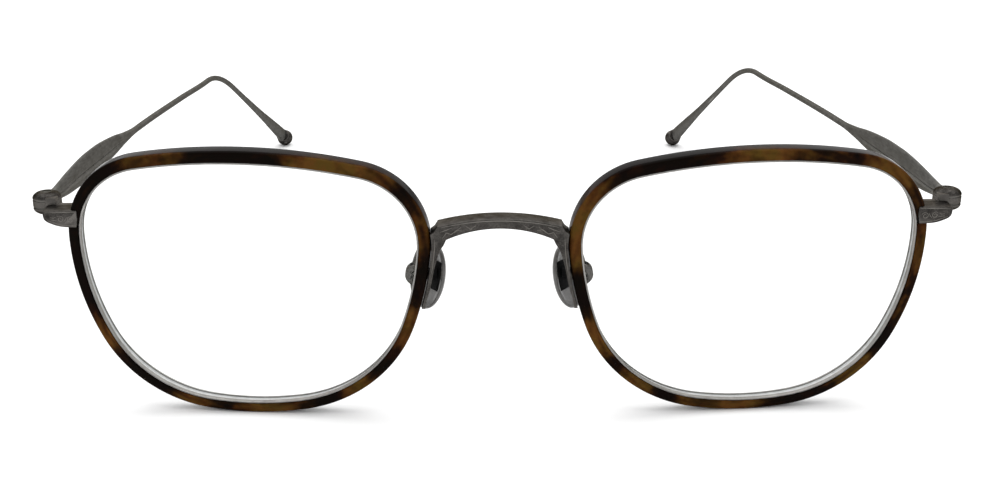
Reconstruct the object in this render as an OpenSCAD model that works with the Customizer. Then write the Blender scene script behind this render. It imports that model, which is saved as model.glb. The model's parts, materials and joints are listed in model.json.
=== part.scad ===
// Full-rim eyeglasses: metal eyewires under dark acetate covers, an arched bar bridge, slim folding
// temples with ball tips, and nose pads that rock on small screws. Millimetres, +Z up.
// The piece stands on its rims and temple tips. The origin is on that plane, below the middle.
// Side -1 is the -X side, called left, and side 1 is the +X side, called right.

/* [Rims] */
// Half of the distance between the two lens centres
lens_centre_x = 34.3; // [33.5:0.1:35]
// Angle by which each rim wraps round the face
wrap = 4; // [3:0.5:5]
// Radius of the curve that both lenses and rims follow
base_r = 130; // [120:5:150]
// Distance from the lens centre to the outer side of the opening
outer_dist = 21.8; // [21.5:0.1:22.1]
// Distance from the lens centre to the top of the opening
top_dist = 18.4; // [18:0.1:18.8]
// Distance from the lens centre to the nose side of the opening
nose_dist = 21.4; // [21.1:0.1:21.7]
// Distance from the lens centre to the bottom of the opening
bottom_dist = 18.3; // [17.9:0.1:18.8]
// Width of the acetate seen from the front
cover_w = 1.5; // [1.4:0.05:1.6]
// Depth of the acetate from front to back
cover_d = 2.3; // [2.2:0.05:2.35]

/* [Lenses] */
// Thickness of each lens
lens_t = 0.9; // [0.8:0.05:0.9]

/* [Bridge] */
// Height of the bar at its middle
bar_h = 1.4; // [1.2:0.1:1.6]
// Depth of the bar from front to back
bar_d = 2.5; // [2.4:0.05:2.6]

/* [Temples] */
// Straight length from the hinge to the ear bend
temple_straight = 90; // [80:1:95]
// Radius of the ear bend
ear_r = 28; // [24:1:34]
// Angle of the right ear bend
ear_bend = 33.5; // [32:0.5:35]
// How much less the left ear bend turns
bend_less = 3; // [2:0.5:4]
// Length from the ear bend to the tip
ear_l = 35; // [30:1:40]
// Angle by which the temples run downwards from the front
temple_drop = 6.6; // [5:0.1:8]
// Inward angle of the left temple when it is open
splay_left = 3.1; // [2:0.1:6]
// Inward angle of the right temple when it is open
splay_right = 5.8; // [2:0.1:6]
// Angle by which the left temple runs down from the middle of its hinge
dip_left = 0.8; // [0.6:0.1:1]
// Extra inward turn of the ear section
ear_turn = 9; // [7:0.5:9.5]
// Height of the flat blade behind the hinge
blade_h = 4.3; // [3.8:0.1:4.4]
// Thickness of the round wire
wire_d = 1.05; // [1:0.05:1.3]
// Diameter of the ball tip
ball_d = 3.6; // [3.2:0.1:3.8]

/* [Hinges] */
// Outer diameter of the knuckles
knuckle_d = 3.9; // [3.5:0.1:3.9]
// Diameter of the hinge screw's shank
hinge_screw_d = 1.2; // [1:0.1:1.4]

/* [Nose pads] */
// Height of each pad
pad_h = 10; // [9.5:0.5:11]
// Width of each pad
pad_w = 7; // [6:0.5:7.5]
// Diameter of the round pad box
pad_box_d = 3.2; // [3:0.1:3.3]

/* [Hidden] */
$fn = 48;

METAL = [0.42, 0.41, 0.39];
ACETATE = [0.13, 0.07, 0.04];
GLASS = [0.85, 0.92, 0.95, 0.35];
PAD = [0.16, 0.16, 0.16];
CORE = [0.05, 0.05, 0.05];

// Opening: four side arcs, each [direction of its middle, distance from the centre, radius]
SIDES = [[-27.3, outer_dist, 34.6], [90.9, top_dist, 71], [204.2, nose_dist, 44], [267.4, bottom_dist, 46.5]];
// Radius of the corner arc after each side arc
CORNERS = [10.7, 10.2, 19, 16.7];
// Largest angle and length between two stations of the outline
station_angle = 6;
station_length = 3;

// Eyewire section: an open channel with a wall behind it, as [offset from the opening, depth behind the
// cover's front]
wire_in = -0.2;
wire_out = 0.46;
wire_front = 0.7;
wire_back = 2.6;
channel_back = 2;
groove = 0.2;
lip_front = 0.86;
lip_back = 1.84;
EYEWIRE = [
    [wire_in, wire_front], [wire_out, wire_front], [wire_out, wire_back], [groove, wire_back], [groove, channel_back],
    [wire_in, channel_back], [wire_in, lip_back], [groove, lip_back], [groove, lip_front], [wire_in, lip_front]
];
// Cover section: an angle that wraps the eyewire's front and outer side, with rounded edges
cover_in = 0.5;
COVER = [
    [0, 0.15], [0.15, 0], [cover_w - 0.5, 0], [cover_w - 0.12, 0.14], [cover_w, 0.45],
    [cover_w, cover_d - 0.15], [cover_w - 0.15, cover_d], [cover_in, cover_d], [cover_in, 0.66], [0, 0.66]
];
lens_front = 0.9;
lens_off = 0.12;

// Hinge axis: it passes through this point and leans back by temple_drop
HINGE = [62.3, 8.4, 10.1];
knuckle_h = 0.68;
leaf_h = 0.95;
washer_t = 0.11;
stack_h = leaf_h / 2 + 0.02 + washer_t + 0.01;
fit = 0.03;
// Height of the temple's centre line above the middle of the hinge
temple_rise = 0.3;

// Endpiece block, as seen from the front
block_in = 57.1;
block_out = 61.7;
block_front = 3.9;
block_back = 6.05;
block_low = 8.2;
block_high = 10.6;

// Bridge outline
bar_front = 0.5;
bar_top = 10.6;
arch_r = 18.5;
crown_r = 26;
crown_x = 8.4;
leg_low = -2.8;
// Depth of the cover's rear edge on the nose side, and how far the wrap moves that edge towards the nose
cover_rear = 4.75;
rim_lean = cover_rear * sin(wrap);

// Nose pads: the box centre, and the angles at which a pad sits
BOX = [11.6, 6.6, -0.3];
pad_gap = 0.4;
pad_splay = 42;
pad_lean = 14;
pad_t = 1.7;
core_t = 0.5;
wire_r = 0.42;

function dir2(a) = [cos(a), sin(a)];
function angle_of(v) = atan2(v[1], v[0]);
function turn(a, b) = (b - a + 720) % 360;
function side_centre(s) = (s[1] - s[2]) * dir2(s[0]);

// Centre of a circle of radius r that touches two side arcs from inside
function corner_centre(s1, s2, r) =
    let(
        c1 = side_centre(s1),
        c2 = side_centre(s2),
        r1 = s1[2] - r,
        r2 = s2[2] - r,
        d = norm(c2 - c1),
        e = (c2 - c1) / d,
        along = (r1 * r1 - r2 * r2 + d * d) / (2 * d),
        across = sqrt(r1 * r1 - along * along) * [-e[1], e[0]],
        outward = dir2(s1[0]) + dir2(s2[0])
    )
    across * outward > 0 ? c1 + along * e + across : c1 + along * e - across;

CORNER_CENTRES = [for (i = [0 : 3]) corner_centre(SIDES[i], SIDES[(i + 1) % 4], CORNERS[i])];

function arc_stations(c, r, a, sweep) =
    let(n = max(ceil(sweep / station_angle), ceil(r * sweep * PI / 180 / station_length)))
    [for (k = [0 : n - 1]) [c + r * dir2(a + sweep * k / n), dir2(a + sweep * k / n)]];

// Stations round the opening, each [point, outward normal]
RIM = [
    for (i = [0 : 3])
        let(
            c = side_centre(SIDES[i]),
            next_c = side_centre(SIDES[(i + 1) % 4]),
            start = angle_of(CORNER_CENTRES[(i + 3) % 4] - c),
            middle = angle_of(CORNER_CENTRES[i] - c),
            end = angle_of(CORNER_CENTRES[i] - next_c)
        )
        each concat(
            arc_stations(c, SIDES[i][2], start, turn(start, middle)),
            arc_stations(CORNER_CENTRES[i], CORNERS[i], middle, turn(middle, end))
        )
];

function outline(off) = [for (s = RIM) s[0] + off * s[1]];
function sag(p) = (p[0] * p[0] + p[1] * p[1]) / (2 * base_r);

// Shape of each temple, as [inward angle, downward angle, ear bend]
LEFT = [splay_left, dip_left, ear_bend - bend_less];
RIGHT = [splay_right, 0, ear_bend];

// Temple path in the hinge's own frame: back along +Y, inwards to -X, down at the ear
path_step = 2.5;
temple_start = 2.3;
bend_l = ear_r * ear_bend * PI / 180;
path_l = temple_straight + bend_l + ear_l - ball_d / 2;
path_n = ceil((path_l - temple_start) / path_step);
function bend_part(s) = min(1, max(0, (s - temple_straight) / bend_l));
function path_in(s, shape) = shape[0] + ear_turn * bend_part(s);
function path_down(s, shape) = shape[1] + shape[2] * bend_part(s);
function heading(s, shape) =
    let(i = path_in(s, shape), d = path_down(s, shape)) [-sin(i) * cos(d), cos(i) * cos(d), -sin(d)];
function path(shape) =
    let(ds = (path_l - temple_start) / path_n)
    [for (i = 0, s = temple_start, p = s * heading(s, shape) + [0, 0, temple_rise]; i <= path_n;
        p = p + ds * heading(s + ds / 2, shape), s = s + ds, i = i + 1) [s, p]];

// Half height and half thickness of the temple at each distance from the hinge
function half_height(s) = lookup(s, [
    [2, 0.95], [5, 0.3 * blade_h], [8, 0.39 * blade_h], [12, 0.46 * blade_h], [16, blade_h / 2], [20, 0.5 * blade_h],
    [25, 0.45 * blade_h], [30, 0.36 * blade_h], [35, 0.22 * blade_h], [41, wire_d / 2],
    [temple_straight + bend_l, wire_d / 2],
    [path_l - 16, 0.85], [path_l - 8, 1.25], [path_l, 1.5]
]);
function half_thick(s) = lookup(s, [
    [2, 0.62], [16, 0.55], [40, wire_d / 2], [temple_straight + bend_l, wire_d / 2],
    [path_l - 10, 0.6], [path_l, 0.9]
]);
SECTION = [[1, 0.45], [0.55, 1], [-0.55, 1], [-1, 0.45], [-1, -0.45], [-0.55, -1], [0.55, -1], [1, -0.45]];

// Working frame to standing frame: the rims' lowest edge and the balls share the plane z = 0
function tilt_x(p, a) = [p[0], p[1] * cos(a) - p[2] * sin(a), p[1] * sin(a) + p[2] * cos(a)];
low_point = outline(cover_w)[search([min([for (p = outline(cover_w)) p[1]])], [for (p = outline(cover_w)) p[1]])[0]];
rim_foot = [0, sag(low_point) + low_point[0] * sin(wrap) + 0.45, low_point[1]];
cap_sink = 0.2;
function ball_centre(shape) =
    HINGE + tilt_x(path(shape)[path_n][1] + (ball_d / 2 - cap_sink) * heading(path_l, shape), -temple_drop);
reach = ball_centre(RIGHT) - rim_foot;
rest_tilt = asin(ball_d / 2 / norm([reach[1], reach[2]])) - atan2(reach[2], reach[1]);
rise = -tilt_x(rim_foot, rest_tilt)[2];
back_y = tilt_x(ball_centre(LEFT), rest_tilt)[1] + ball_d / 2;
front_y = tilt_x([0, bar_front, bar_top], rest_tilt)[1];
shift_y = -(back_y + front_y) / 2;

module standing() {
    translate([0, shift_y, rise]) rotate([rest_tilt, 0, 0]) children();
}

module mirrored(side) {
    mirror([side < 0 ? 1 : 0, 0, 0]) children();
}

module lens_frame() {
    translate([lens_centre_x, 0, 0]) rotate([0, 0, wrap]) children();
}

module hinge_frame() {
    translate(HINGE) rotate([-temple_drop, 0, 0]) children();
}

// An upright outline, drawn in X and Z, made solid from y0 back to y1
module upright(y0, y1) {
    translate([0, y1, 0]) rotate([90, 0, 0]) linear_extrude(y1 - y0) children();
}

// A rod along +Y
module rod(r, y0, y1) {
    translate([0, y1, 0]) rotate([90, 0, 0]) cylinder(r = r, h = y1 - y0);
}

// A closed ring that carries one section round the opening
module ring(section) {
    n = len(RIM);
    m = len(section);
    points = [for (s = RIM, q = section) let(p = s[0] + q[0] * s[1]) [p[0], sag(p) + q[1], p[1]]];
    faces = [
        for (i = [0 : n - 1], j = [0 : m - 1])
            let(a = i * m + j, b = i * m + (j + 1) % m, c = ((i + 1) % n) * m + (j + 1) % m, d = ((i + 1) % n) * m + j)
            each [[a, b, c], [a, c, d]]
    ];
    polyhedron(points, faces);
}

module eyewire(side) {
    color(METAL) standing() mirrored(side) lens_frame() ring(EYEWIRE);
}

module rim_cover(side) {
    color(ACETATE) standing() mirrored(side) difference() {
        lens_frame() ring(COVER);
        translate([block_in - 0.03, 0, block_low - 0.05]) cube([6, 10, block_high - block_low + 0.1]);
    }
}

module lens(side) {
    color(GLASS) standing() mirrored(side) lens_frame() difference() {
        intersection() {
            upright(-1, 9) polygon(outline(lens_off));
            translate([0, base_r + lens_front, 0]) sphere(r = base_r, $fn = 200);
        }
        translate([0, base_r + lens_front + lens_t, 0]) sphere(r = base_r, $fn = 200);
    }
}

// Half of the bridge's front outline
module bridge_half() {
    crown = [for (k = [0 : 6]) let(x = crown_x * k / 6) [x, bar_top - crown_r + sqrt(crown_r * crown_r - x * x)]];
    arch = [for (k = [6 : -1 : 0]) let(x = 7.8 * k / 6) [x, bar_top - bar_h - arch_r + sqrt(arch_r * arch_r - x * x)]];
    difference() {
        polygon(concat(crown, [[9.95, 8.5], [12, 8.5], [12, leg_low], [10.4, leg_low], [9, 4.8], [8.3, 6.9]], arch));
        translate([lens_centre_x - rim_lean, 0]) polygon([for (p = outline(cover_w + 0.05)) [p[0] * cos(wrap), p[1]]]);
    }
}

module bridge() {
    foot_y = 3.06;
    foot_back = 3.55;
    color(METAL) standing() for (side = [-1, 1]) {
        mirrored(side) {
            upright(bar_front, bar_front + bar_d) bridge_half();
            translate([9, foot_y, 4.8]) cube([1.85, foot_back - foot_y, 2.7]);
            translate([8.9, bar_front + bar_d - 0.1, 4.8]) cube([0.6, foot_back - bar_front - bar_d + 0.1, 2.7]);
        }
    }
}

// Block between rim and hinge: a rounded front outline, with a foot behind the rim
module endpiece(side) {
    r = 1.1;
    foot_front = 6.5;
    foot_back = 7;
    foot_w = 1.4;
    web_w = 3.1;
    color(METAL) standing() mirrored(side) difference() {
        union() {
            upright(block_front, block_back) {
                translate([block_in, block_low]) square([block_out - block_in - r, block_high - block_low]);
                translate([block_out - r - 0.1, block_low + r]) square([r + 0.1, block_high - block_low - r]);
                translate([block_out - r, block_low + r]) circle(r = r);
            }
            translate([block_in, block_back - 0.1, block_low])
                cube([web_w, foot_back - block_back + 0.1, block_high - block_low]);
            translate([block_in - foot_w, foot_front, block_low])
                cube([foot_w + 0.1, foot_back - foot_front, block_high - block_low]);
        }
        lens_frame() upright(2, 9) polygon(outline(groove));
    }
}

// Fixed knuckles above and below the temple's leaf, on a plate behind the endpiece
module hinge_front(side) {
    r = knuckle_d / 2;
    plate_back = -r - 0.1;
    plate_t = 0.25;
    plate_w = 1.5;
    top = stack_h + knuckle_h;
    color(METAL) standing() mirrored(side) hinge_frame() difference() {
        union() {
            for (up = [0, 1]) translate([0, 0, up ? stack_h : -top]) {
                cylinder(r = r, h = knuckle_h);
                translate([-r, plate_back - 0.1, 0]) cube([plate_w, r + 0.1, knuckle_h]);
            }
            translate([-r, plate_back - plate_t, -top]) cube([plate_w, plate_t, 2 * top]);
        }
        translate([0, 0, -top - 1]) cylinder(r = hinge_screw_d / 2 + fit, h = 2 * top + 2);
    }
}

module hinge_washers(side) {
    color(METAL) standing() mirrored(side) hinge_frame() for (up = [0, 1]) {
        translate([0, 0, up ? leaf_h / 2 + 0.02 : -leaf_h / 2 - 0.02 - washer_t]) difference() {
            cylinder(r = knuckle_d / 2 - 0.15, h = washer_t);
            translate([0, 0, -1]) cylinder(r = hinge_screw_d / 2 + fit, h = 3);
        }
    }
}

module hinge_screw(side) {
    top = stack_h + knuckle_h;
    color(METAL) standing() mirrored(side) hinge_frame() difference() {
        union() {
            translate([0, 0, -top]) cylinder(r = hinge_screw_d / 2, h = 2 * top + 0.05);
            translate([0, 0, top]) cylinder(r = 1, h = 0.28);
        }
        translate([-1.5, -0.14, top + 0.14]) cube([3, 0.28, 1]);
    }
}

// Room in the temple for the leaf's tongue, or the tongue itself
module tongue(gap) {
    translate([-0.3 - gap, 1.2, -0.3 - gap]) cube([0.6 + 2 * gap, 4.6 + gap, 0.7 + 2 * gap]);
}

module hinge_leaf(side) {
    shape = side < 0 ? LEFT : RIGHT;
    color(METAL) standing() mirrored(side) hinge_frame() difference() {
        union() {
            translate([0, 0, -leaf_h / 2]) cylinder(r = knuckle_d / 2 - 0.02, h = leaf_h);
            rotate([-shape[1], 0, shape[0]]) tongue(0);
        }
        translate([0, 0, -3]) cylinder(r = hinge_screw_d / 2 + fit, h = 6);
    }
}

module temple(side) {
    shape = side < 0 ? LEFT : RIGHT;
    m = len(SECTION);
    points = [
        for (sp = path(shape))
            let(
                s = sp[0],
                i = path_in(s, shape),
                d = path_down(s, shape),
                across = [cos(i), sin(i), 0],
                upward = [-sin(i) * sin(d), cos(i) * sin(d), cos(d)]
            )
            for (q = SECTION) sp[1] + q[0] * half_thick(s) * across + q[1] * half_height(s) * upward
    ];
    faces = concat(
        [[for (j = [0 : m - 1]) j]],
        [[for (j = [m - 1 : -1 : 0]) path_n * m + j]],
        [
            for (i = [0 : path_n - 1], j = [0 : m - 1])
                let(a = i * m + j, b = i * m + (j + 1) % m, c = (i + 1) * m + (j + 1) % m, d = (i + 1) * m + j)
                each [[a, c, b], [a, d, c]]
        ]
    );
    color(METAL) standing() mirrored(side) hinge_frame() difference() {
        polyhedron(points, faces);
        rotate([-shape[1], 0, shape[0]]) tongue(0.02);
    }
}

// Ball tip with a groove round its neck
module tip_cap(side) {
    shape = side < 0 ? LEFT : RIGHT;
    r = ball_d / 2;
    arc = [for (a = [-52 : 4 : 90]) [r * cos(a), r + r * sin(a)]];
    color(METAL) standing() mirrored(side) hinge_frame() translate(path(shape)[path_n][1])
        rotate([-90 - path_down(path_l, shape), 0, path_in(path_l, shape)])
            translate([0, 0, -cap_sink]) rotate_extrude()
                polygon(concat([[0, 0], [1.5, 0], [1.5, 0.3], [1.1, 0.38]], arc));
}

// Wire from a solder foot on the back of the eyewire, round a bend and down to the pad box
module pad_arm(side) {
    bend = 2.4;
    sides = 12;
    foot_x = 10.8;
    bend_y = BOX[1] - bend;
    bend_z = BOX[2] + pad_box_d / 2 - 0.05;
    // Each station is [x, y, z, direction, radius]
    stations = concat(
        [for (f = [[3.02, 0.6], [3.3, 0.55], [3.6, wire_r]]) [foot_x, f[0], bend_z + bend, 0, f[1]]],
        [
            for (a = [0 : 10 : 90])
                [foot_x + (BOX[0] - foot_x) * a / 90, bend_y + bend * sin(a), bend_z + bend * cos(a), -a, wire_r]
        ]
    );
    last = len(stations) - 1;
    points = [
        for (s = stations, k = [0 : sides - 1])
            let(u = s[4] * cos(360 * k / sides), v = s[4] * sin(360 * k / sides))
            [s[0] + u, s[1] - v * sin(s[3]), s[2] + v * cos(s[3])]
    ];
    faces = concat(
        [[for (k = [0 : sides - 1]) k]],
        [[for (k = [sides - 1 : -1 : 0]) last * sides + k]],
        [
            for (i = [0 : last - 1], j = [0 : sides - 1])
                let(a = i * sides + j, b = i * sides + (j + 1) % sides)
                each [[a, a + sides, b + sides], [a, b + sides, b]]
        ]
    );
    color(METAL) standing() mirrored(side) polyhedron(points, faces);
}

// Round box with a slot for the pad's boss
module pad_box(side) {
    color(METAL) standing() mirrored(side) translate(BOX) difference() {
        rod(pad_box_d / 2, -0.8, 0.8);
        translate([-3, -0.45, -3]) cube([3.9, 0.9, 6]);
        rod(0.45 + fit, -2, 2);
    }
}

module pad_screw(side) {
    color(METAL) standing() mirrored(side) translate(BOX) {
        rod(0.45, -0.9, 0.9);
        difference() {
            rod(0.8, -1.1, -0.82);
            translate([-1, -1.3, -0.12]) cube([2, 0.34, 0.24]);
        }
    }
}

module pad_frame() {
    translate(BOX) rotate([0, -pad_lean, -pad_splay]) translate([-pad_box_d / 2 - pad_gap, 0.2, -0.4]) children();
}

// Boss in the box's slot, with its bore
module boss(gap) {
    translate(BOX) difference() {
        union() {
            rod(0.75, -0.35 - gap, 0.35 + gap);
            translate([-2.85 - gap, -0.35 - gap, -0.75 - gap]) cube([2.85 + gap, 0.7 + 2 * gap, 1.5 + 2 * gap]);
        }
        rod(0.45 + fit, -2, 2);
    }
}

// Plate that the pad is moulded round
module plate(gap) {
    pad_frame() translate([-core_t - gap, -2.8 - gap, -1.6 - gap])
        cube([core_t + 2 * gap, 1.9 + 2 * gap, 4.2 + 2 * gap]);
}

module pad_core(side) {
    color(CORE) standing() mirrored(side) {
        boss(0);
        plate(0);
    }
}

module nose_pad(side) {
    dome = 9;
    color(PAD) standing() mirrored(side) difference() {
        pad_frame() intersection() {
            rotate([0, -90, 0]) linear_extrude(pad_t)
                polygon([for (k = [0 : 31]) [pad_h / 2 * cos(k * 11.25), pad_w / 2 * sin(k * 11.25)]]);
            translate([dome - pad_t, 0, 0]) sphere(r = dome, $fn = 96);
        }
        boss(0.03);
        plate(0.03);
    }
}

bridge();
eyewire(-1);  // eyewire_left
eyewire(1);  // eyewire_right
rim_cover(-1);  // rim_cover_left
rim_cover(1);  // rim_cover_right
lens(-1);  // lens_left
lens(1);  // lens_right
endpiece(-1);  // endpiece_left
endpiece(1);  // endpiece_right
hinge_front(-1);  // hinge_front_left
hinge_front(1);  // hinge_front_right
hinge_washers(-1);  // hinge_washers_left
hinge_washers(1);  // hinge_washers_right
hinge_screw(-1);  // hinge_screw_left
hinge_screw(1);  // hinge_screw_right
hinge_leaf(-1);  // hinge_leaf_left
hinge_leaf(1);  // hinge_leaf_right
temple(-1);  // temple_left
temple(1);  // temple_right
tip_cap(-1);  // tip_cap_left
tip_cap(1);  // tip_cap_right
pad_arm(-1);  // pad_arm_left
pad_arm(1);  // pad_arm_right
pad_box(-1);  // pad_box_left
pad_box(1);  // pad_box_right
pad_screw(-1);  // pad_screw_left
pad_screw(1);  // pad_screw_right
pad_core(-1);  // pad_core_left
pad_core(1);  // pad_core_right
nose_pad(-1);  // nose_pad_left
nose_pad(1);  // nose_pad_right
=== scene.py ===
"""Full-rim eyeglasses: acetate covers on metal eyewires, an arched bridge, feather temples and pads.

The pieces are shaped in the working frame of the CAD part, in millimetres: X to the right, Y back and
Z up from the middle of the lenses. The last step of each piece turns it into the standing frame.
Side -1 is the -X side, called left, and side 1 is the +X side, called right.
"""
import json
import math

import bmesh
import bpy
from mathutils import Matrix, Vector, noise


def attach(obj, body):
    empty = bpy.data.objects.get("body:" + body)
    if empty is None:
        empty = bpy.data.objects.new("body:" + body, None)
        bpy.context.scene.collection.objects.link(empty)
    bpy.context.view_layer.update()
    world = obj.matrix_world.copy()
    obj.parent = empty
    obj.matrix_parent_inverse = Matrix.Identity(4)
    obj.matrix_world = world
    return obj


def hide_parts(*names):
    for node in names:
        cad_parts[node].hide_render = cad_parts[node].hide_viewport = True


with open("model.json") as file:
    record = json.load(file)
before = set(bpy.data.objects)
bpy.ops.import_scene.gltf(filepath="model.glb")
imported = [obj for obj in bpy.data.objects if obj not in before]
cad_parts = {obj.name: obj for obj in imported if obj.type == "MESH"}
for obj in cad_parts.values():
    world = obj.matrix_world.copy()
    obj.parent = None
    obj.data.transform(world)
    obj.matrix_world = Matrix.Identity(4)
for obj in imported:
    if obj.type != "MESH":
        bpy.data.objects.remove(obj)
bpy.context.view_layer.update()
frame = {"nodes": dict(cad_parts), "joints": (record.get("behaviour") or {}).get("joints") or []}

MM = 0.001
SIDES = ((-1, "left"), (1, "right"))

# Rims: side arcs as (direction, distance, radius), and the corner radius after each of them
LENS_X = 34.3
WRAP = math.radians(4)
BASE_R = 130.0
ARCS = ((-27.3, 21.8, 34.6), (90.9, 18.4, 71.0), (204.2, 21.4, 44.0), (267.4, 18.3, 46.5))
CORNERS = (10.7, 10.2, 19.0, 16.7)
COVER_W = 1.5
COVER_D = 2.3
LENS_FRONT = 0.9
LENS_T = 0.9
GROOVE = 0.2
LENS_OFF = 0.12

# Hinges and temples
HINGE = (62.3, 8.4, 10.1)
TEMPLE_DROP = math.radians(6.6)
# Inward angle, downward angle and ear bend of each temple
SHAPE = {-1: (3.1, 0.8, 30.5), 1: (5.8, 0.0, 33.5)}
STRAIGHT = 90.0
EAR_ARC = 28.0 * math.radians(33.5)
EAR_L = 35.0
EAR_TURN = 9.0
BALL_D = 3.6
WIRE_D = 1.05
BLADE_H = 4.3
TEMPLE_RISE = 0.3
CAP_SINK = 0.2
KNUCKLE_R = 1.95
KNUCKLE_H = 0.68
DOME_H = 0.95
LEAF_H = 0.95
STACK_H = LEAF_H / 2 + 0.14
HINGE_SCREW_R = 0.6
HINGE_BORE_R = HINGE_SCREW_R + 0.03

# Endpiece, as its lowest and highest X and Z, and bridge
BLOCK = (57.1, 61.7, 8.2, 10.6)
BLOCK_Y = (3.9, 6.05)
BAR_FRONT = 0.5
BAR_D = 2.5
BAR_TOP = 10.6
BAR_H = 1.4
BAR_EDGE = 0.09
ARCH_R = 16.8
CROWN_R = 33.0
LEG_LOW = -2.8
# Shift of the rims' nose side by the wrap, about as deep as the bridge's back
RIM_LEAN = 4.75 * math.sin(WRAP)
# Raised lines: width on the bridge and on the endpieces, and height
BAR_LINE = 0.17
BLOCK_LINE = 0.14
LINE_H = 0.035

# Nose pads
BOX = (11.6, 6.6, -0.3)
BOX_R = 1.6
PAD_H = 10.0
PAD_W = 7.0
PAD_SPLAY = 42
PAD_LEAN = 14
PLATE = ((-0.5, -2.8, -1.6), (-0.02, -0.9, 2.6))
PLATE_GAP = 0.03


def standing_matrix():
    """Working frame in millimetres to the standing frame in metres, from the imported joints."""
    joints = {j["name"]: j for j in frame["joints"]}
    axis = joints["pad_right_rock"]["axis"]
    turn = Matrix.Rotation(math.atan2(axis[2], axis[1]), 4, "X")
    hinge = Vector(joints["temple_right_fold"]["pos_m"])
    return Matrix.Translation(hinge - turn @ (Vector(HINGE) * MM)) @ turn @ Matrix.Scale(MM, 4)


STANDING = standing_matrix()
HINGE_FRAME = Matrix.Translation(HINGE) @ Matrix.Rotation(-TEMPLE_DROP, 4, "X")
LENS_FRAME = Matrix.Translation((LENS_X, 0, 0)) @ Matrix.Rotation(WRAP, 4, "Z")
PAD_FRAME = (
    Matrix.Translation(BOX)
    @ Matrix.Rotation(math.radians(-PAD_SPLAY), 4, "Z")
    @ Matrix.Rotation(math.radians(-PAD_LEAN), 4, "Y")
    @ Matrix.Translation((-BOX_R - 0.4, 0.2, -0.4))
)


# ---------------------------------------------------------------- outlines

def dir2(a):
    """Unit vector at an angle in degrees."""
    return Vector((math.cos(math.radians(a)), math.sin(math.radians(a))))


def angle_of(v):
    return math.degrees(math.atan2(v.y, v.x))


def arc_centre(arc):
    """Centre of a side arc given as (direction, distance, radius)."""
    return dir2(arc[0]) * (arc[1] - arc[2])


def corner_centre(one, two, r):
    """Centre of a circle of radius r that touches two side arcs from inside."""
    c1, c2 = arc_centre(one), arc_centre(two)
    r1, r2 = one[2] - r, two[2] - r
    e = c2 - c1
    d = e.length
    e = e / d
    along = (r1 * r1 - r2 * r2 + d * d) / (2 * d)
    across = math.sqrt(r1 * r1 - along * along) * Vector((-e.y, e.x))
    outward = dir2(one[0]) + dir2(two[0])
    return c1 + along * e + (across if across.dot(outward) > 0 else -across)


def rim_stations(step=0.75):
    """Points round the opening, each with its outward normal."""
    centres = [corner_centre(ARCS[i], ARCS[(i + 1) % 4], CORNERS[i]) for i in range(4)]
    out = []
    for i, arc in enumerate(ARCS):
        c, after = arc_centre(arc), arc_centre(ARCS[(i + 1) % 4])
        start = angle_of(centres[i - 1] - c)
        middle = angle_of(centres[i] - c)
        end = angle_of(centres[i] - after)
        for centre, r, a, b in ((c, arc[2], start, middle), (centres[i], CORNERS[i], middle, end)):
            sweep = (b - a) % 360
            n = math.ceil(math.radians(sweep) * r / step)
            out += [(centre + r * dir2(a + sweep * k / n), dir2(a + sweep * k / n)) for k in range(n)]
    return out


RIM = rim_stations()


def sag(p):
    """How far the base curve has gone back at a point of the front."""
    return (p.x * p.x + p.y * p.y) / (2 * BASE_R)


def rounded(corners, steps=4):
    """A closed outline from (x, y, radius) corners, each one softened."""
    out = []
    n = len(corners)
    for i, (x, y, r) in enumerate(corners):
        p = Vector((x, y))
        if not r:
            out.append(p)
            continue
        before = Vector(corners[i - 1][:2]) - p
        after = Vector(corners[(i + 1) % n][:2]) - p
        a = p + before.normalized() * min(r, before.length * 0.48)
        b = p + after.normalized() * min(r, after.length * 0.48)
        for k in range(steps + 1):
            t = k / steps
            out.append((1 - t) ** 2 * a + 2 * t * (1 - t) * p + t * t * b)
    return out


def smooth_lookup(s, table):
    """The table's value at s on a smooth curve through its points."""
    xs = [p[0] for p in table]
    ys = [p[1] for p in table]
    if s <= xs[0]:
        return ys[0]
    if s >= xs[-1]:
        return ys[-1]
    i = max(k for k in range(len(xs) - 1) if xs[k] <= s)
    slopes = [(ys[k + 1] - ys[k]) / (xs[k + 1] - xs[k]) for k in range(len(xs) - 1)]

    def tangent(k):
        if k in (0, len(xs) - 1) or slopes[k - 1] * slopes[k] <= 0:
            return 0.0
        return 2 * slopes[k - 1] * slopes[k] / (slopes[k - 1] + slopes[k])

    h = xs[i + 1] - xs[i]
    t = (s - xs[i]) / h
    return (
        (2 * t ** 3 - 3 * t * t + 1) * ys[i]
        + (t ** 3 - 2 * t * t + t) * h * tangent(i)
        + (3 * t * t - 2 * t ** 3) * ys[i + 1]
        + (t ** 3 - t * t) * h * tangent(i + 1)
    )


# ---------------------------------------------------------------- mesh tools

def solid(name, verts, faces):
    """A closed mesh object with doubled points merged and its faces turned outwards."""
    mesh = bpy.data.meshes.new(name)
    mesh.from_pydata([tuple(v) for v in verts], [], faces)
    obj = bpy.data.objects.new(name, mesh)
    bpy.context.scene.collection.objects.link(obj)
    tidy(obj)
    return obj


def tidy(obj, merge=1e-4):
    """Merges doubled points, drops empty faces and turns the others outwards."""
    bm = bmesh.new()
    bm.from_mesh(obj.data)
    bmesh.ops.remove_doubles(bm, verts=bm.verts, dist=merge)
    bmesh.ops.dissolve_degenerate(bm, edges=bm.edges, dist=merge)
    bmesh.ops.recalc_face_normals(bm, faces=bm.faces)
    bm.to_mesh(obj.data)
    bm.free()


def quads(n, m, closed_rows, closed_row):
    """Faces between n rows of m points each."""
    faces = []
    for i in range(n if closed_rows else n - 1):
        a, b = i * m, ((i + 1) % n) * m
        for j in range(m if closed_row else m - 1):
            after = (j + 1) % m
            faces.append((a + j, a + after, b + after, b + j))
    return faces


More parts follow.
